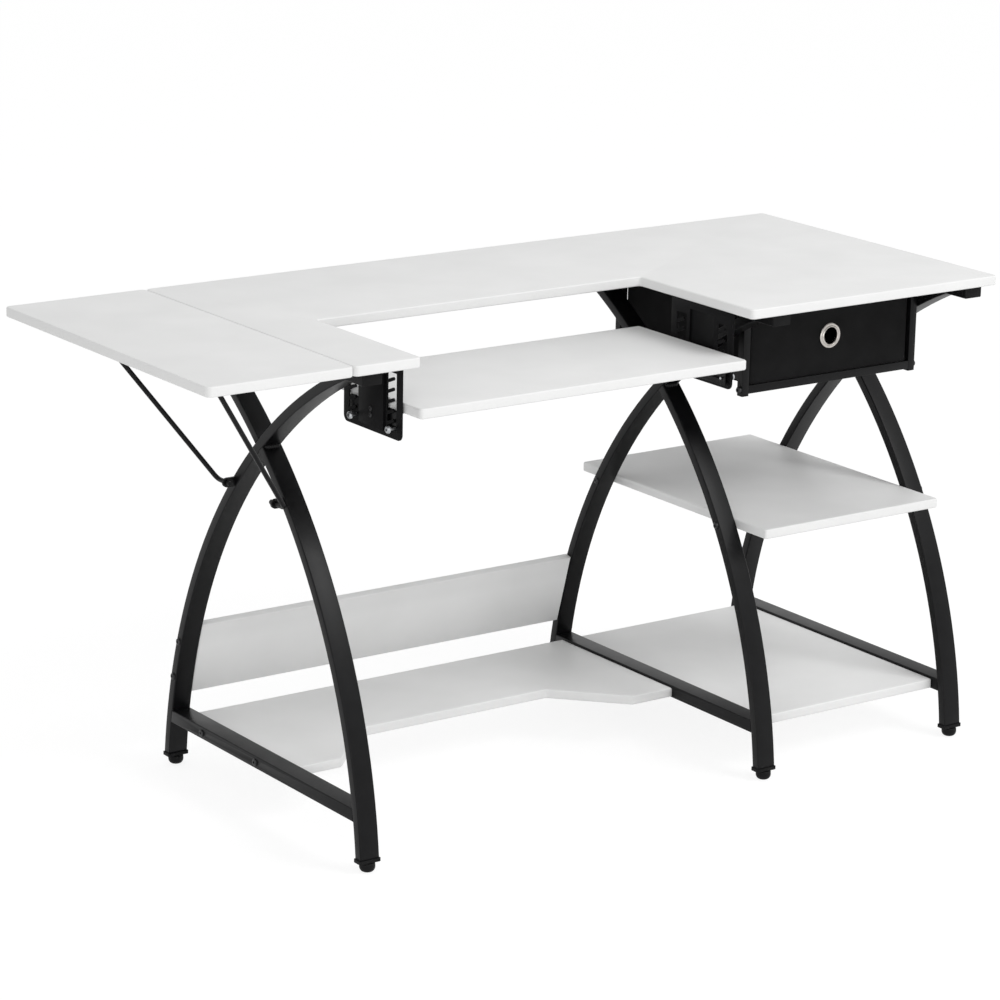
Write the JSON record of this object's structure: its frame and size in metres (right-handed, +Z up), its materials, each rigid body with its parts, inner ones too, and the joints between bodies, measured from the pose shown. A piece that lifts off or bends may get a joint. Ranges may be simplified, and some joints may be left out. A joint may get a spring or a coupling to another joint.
{
  "type": "sewing desk",
  "caption": "Sewing desk with a drop leaf on a wire prop, a lifting machine platform in an open well, arched steel frames, shelves and a fabric drawer.",
  "frame": {"origin": "on the floor below the middle of the desk", "axes": "+X along the desk to the right as seen from the front, +Y to the back, +Z up"},
  "size_m": [1.44, 0.588, 0.762],
  "materials": {
    "white_board": "white melamine",
    "black_tube": "black powder coat",
    "black_plastic": "matt",
    "black_bolt": "black",
    "zinc_steel": "zinc plated",
    "black_fabric": "non-woven",
    "base_board": "fibreboard",
    "nickel": "nickel plated"
  },
  "bodies": {
    "desk": {"main_top": "white_board", "left_shelf": "white_board", "right_lower_shelf": "white_board", "right_upper_shelf": "white_board", "back_panel": "white_board", "left_back_leg": "black_tube", "left_front_leg_lower": "black_tube", "left_front_leg_upper": "black_tube", "left_top_rail": "black_tube", "left_lower_rail": "black_tube", "middle_back_leg": "black_tube", "middle_front_leg_lower": "black_tube", "middle_front_leg_upper": "black_tube", "middle_top_rail": "black_tube", "middle_lower_rail": "black_tube", "right_back_leg": "black_tube", "right_front_leg_lower": "black_tube", "right_front_leg_upper": "black_tube", "right_top_rail": "black_tube", "right_lower_rail": "black_tube", "wire_ears": "black_tube", "left_hanger": "black_tube", "right_hanger": "black_tube", "drawer_left_side_frame": "black_tube", "drawer_right_side_frame": "black_tube", "drawer_front_rail": "black_tube", "drawer_back_rail": "black_tube", "rail_end_plugs": "black_plastic", "foot_caps": "black_plastic", "drawer_post_plugs": "black_plastic", "frame_bolts": "black_bolt", "drawer_rail_bolts": "black_bolt", "shelf_studs": "zinc_steel", "top_rail_screws": "zinc_steel", "hanger_screws": "zinc_steel", "drawer_frame_screws": "zinc_steel", "hinge_fixed_plates": "zinc_steel", "hinge_pins": "zinc_steel"},
    "leaf": {"fold_leaf": "white_board", "hinge_leaf_plates": "zinc_steel", "wire_stops": "black_plastic"},
    "wire": {"leaf_support_wire": "black_tube"},
    "platform": {"machine_platform": "white_board", "left_platform_plate": "black_tube", "right_platform_plate": "black_tube", "platform_pins": "zinc_steel", "platform_screws": "zinc_steel"},
    "drawer": {"drawer_bin": "black_fabric", "drawer_base_board": "base_board", "drawer_grommet": "nickel", "drawer_grommet_washer": "nickel"},
    "glide_left_front_foot": {"glide_left_front": "black_plastic"},
    "glide_left_back_foot": {"glide_left_back": "black_plastic"},
    "glide_middle_front_foot": {"glide_middle_front": "black_plastic"},
    "glide_middle_back_foot": {"glide_middle_back": "black_plastic"},
    "glide_right_front_foot": {"glide_right_front": "black_plastic"},
    "glide_right_back_foot": {"glide_right_back": "black_plastic"}
  },
  "joints": [
    {"name": "leaf_fold", "type": "hinge", "parent": "desk", "child": "leaf", "pos_m": [-0.4825, 0, 0.744], "axis": [0, -1, 0], "range_deg": [0, 90]},
    {"name": "wire_swing", "type": "hinge", "parent": "desk", "child": "wire", "pos_m": [-0.4735, 0, 0.5095], "axis": [0, -1, 0], "range_deg": [0, 144.4]},
    {"name": "platform_lift", "type": "slide", "parent": "desk", "child": "platform", "axis": [0, 0, 1], "range_m": [0, 0.0775]},
    {"name": "drawer_slide", "type": "slide", "parent": "desk", "child": "drawer", "axis": [0, -1, 0], "range_m": [0, 0.24]},
    {"name": "glide_left_front_level", "type": "slide", "parent": "desk", "child": "glide_left_front_foot", "axis": [0, 0, -1], "range_m": [0, 0.009]},
    {"name": "glide_left_back_level", "type": "slide", "parent": "desk", "child": "glide_left_back_foot", "axis": [0, 0, -1], "range_m": [0, 0.009]},
    {"name": "glide_middle_front_level", "type": "slide", "parent": "desk", "child": "glide_middle_front_foot", "axis": [0, 0, -1], "range_m": [0, 0.009]},
    {"name": "glide_middle_back_level", "type": "slide", "parent": "desk", "child": "glide_middle_back_foot", "axis": [0, 0, -1], "range_m": [0, 0.009]},
    {"name": "glide_right_front_level", "type": "slide", "parent": "desk", "child": "glide_right_front_foot", "axis": [0, 0, -1], "range_m": [0, 0.009]},
    {"name": "glide_right_back_level", "type": "slide", "parent": "desk", "child": "glide_right_back_foot", "axis": [0, 0, -1], "range_m": [0, 0.009]}
  ],
  "couplings": [
    {"joint": "wire_swing", "follows": "leaf_fold", "ratio": 1.604}
  ]
}
